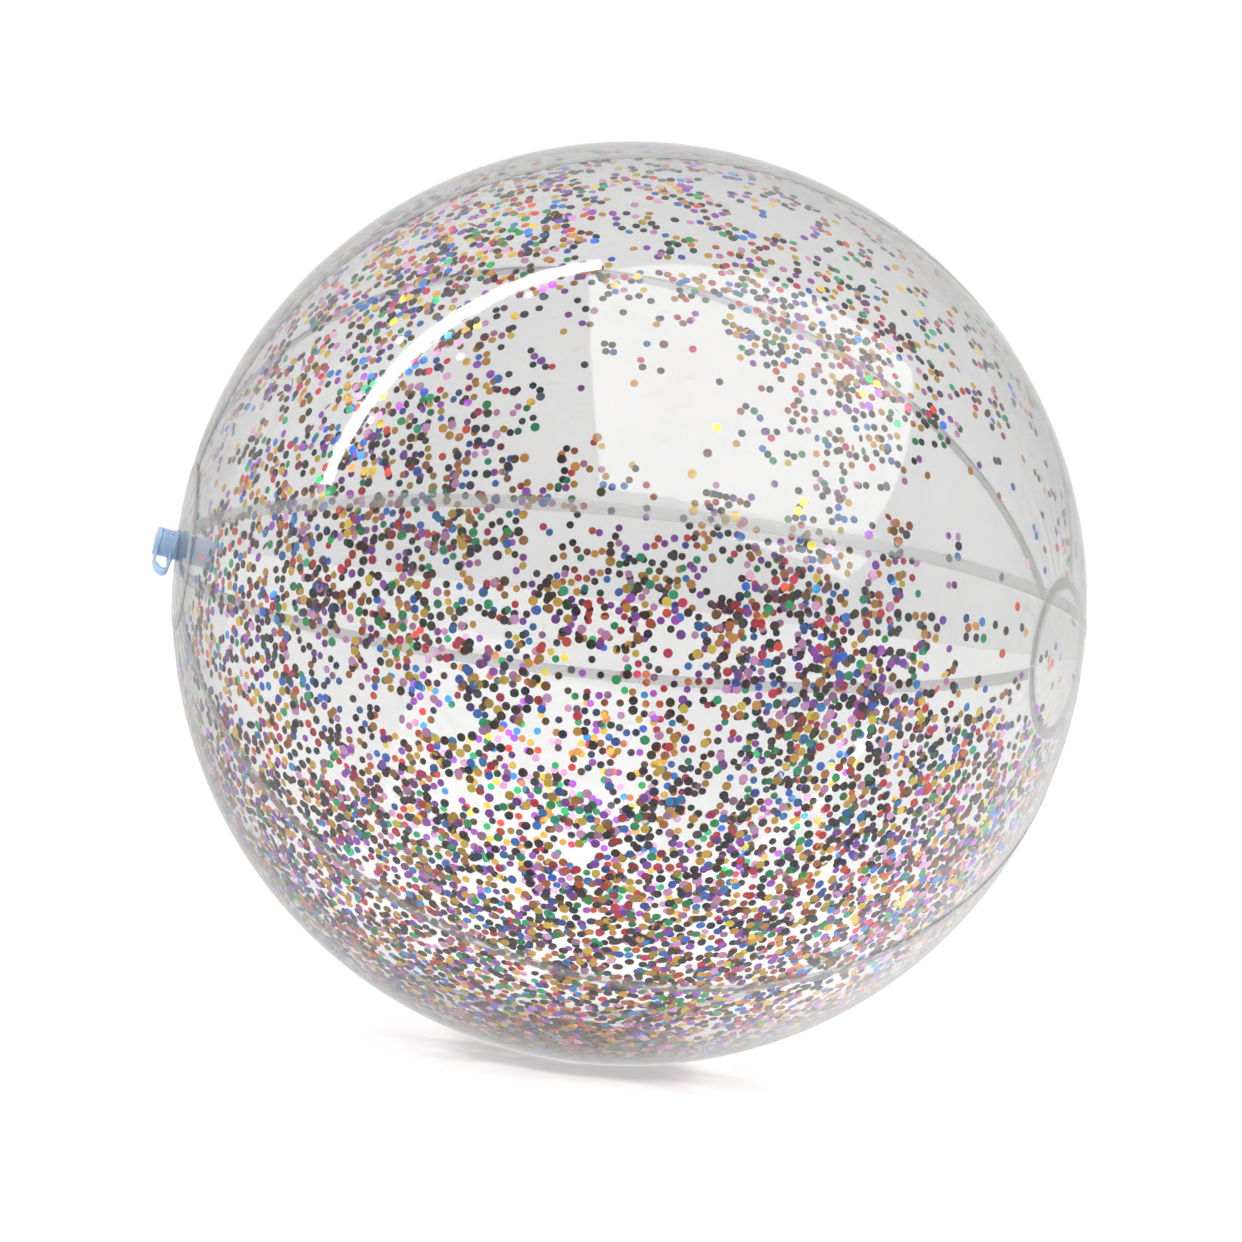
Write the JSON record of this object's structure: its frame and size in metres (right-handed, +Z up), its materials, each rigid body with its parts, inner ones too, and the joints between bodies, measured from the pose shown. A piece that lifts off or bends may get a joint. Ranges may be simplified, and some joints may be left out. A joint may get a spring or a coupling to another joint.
{
  "type": "inflatable beach ball",
  "caption": "Clear inflatable beach ball of lapped film gores with end discs, a plugged one-way valve and loose foil confetti inside.",
  "frame": {"origin": "the ball's lowest point, where it rests on the ground or is held from below", "axes": "+Z up, polar axis along X with the valve at -X, +Y across the ball"},
  "size_m": [0.3548, 0.35, 0.3499],
  "materials": {
    "film": "gloss",
    "valve_vinyl": "satin",
    "confetti_gold": "gloss",
    "confetti_copper": "gloss",
    "confetti_red": "gloss",
    "confetti_pink": "gloss",
    "confetti_purple": "gloss",
    "confetti_blue": "gloss",
    "confetti_green": "gloss",
    "confetti_silver": "gloss",
    "confetti_mix": "satin"
  },
  "bodies": {
    "ball": {"gore_1": "film", "gore_2": "film", "gore_3": "film", "gore_4": "film", "gore_5": "film", "gore_6": "film", "valve_disc": "film", "plain_disc": "film", "confetti_gold": "confetti_gold", "confetti_copper": "confetti_copper", "confetti_red": "confetti_red", "confetti_pink": "confetti_pink", "confetti_purple": "confetti_purple", "confetti_blue": "confetti_blue", "confetti_green": "confetti_green", "confetti_silver": "confetti_silver"},
    "valve": {"valve_stem": "valve_vinyl", "strap_loop": "valve_vinyl"},
    "plug": {"plug": "valve_vinyl", "plug_strap": "valve_vinyl"},
    "flap": {"check_flap": "valve_vinyl"},
    "loose_confetti": {"confetti_heap": "confetti_mix"}
  },
  "joints": [
    {"name": "valve_press", "type": "slide", "parent": "ball", "child": "valve", "axis": [0.9903, 0, -0.1392], "range_m": [0, 0.0072], "deforming": ["valve_disc"]},
    {"name": "plug_hinge", "type": "hinge", "parent": "valve", "child": "plug", "pos_m": [-0.18105, -0.00551, 0.16824], "axis": [0.0798, -0.8192, 0.568], "range_deg": [0, 150]},
    {"name": "check_flap_hinge", "type": "hinge", "parent": "valve", "child": "flap", "pos_m": [-0.1586, 0, 0.17919], "axis": [0, -1, 0], "range_deg": [0, 35], "stiffness_Nm_per_rad": 0.00002},
    {"name": "confetti_roll", "type": "hinge", "parent": "ball", "child": "loose_confetti", "pos_m": [0, 0, 0.175], "axis": [1, 0, 0], "continuous": true}
  ]
}
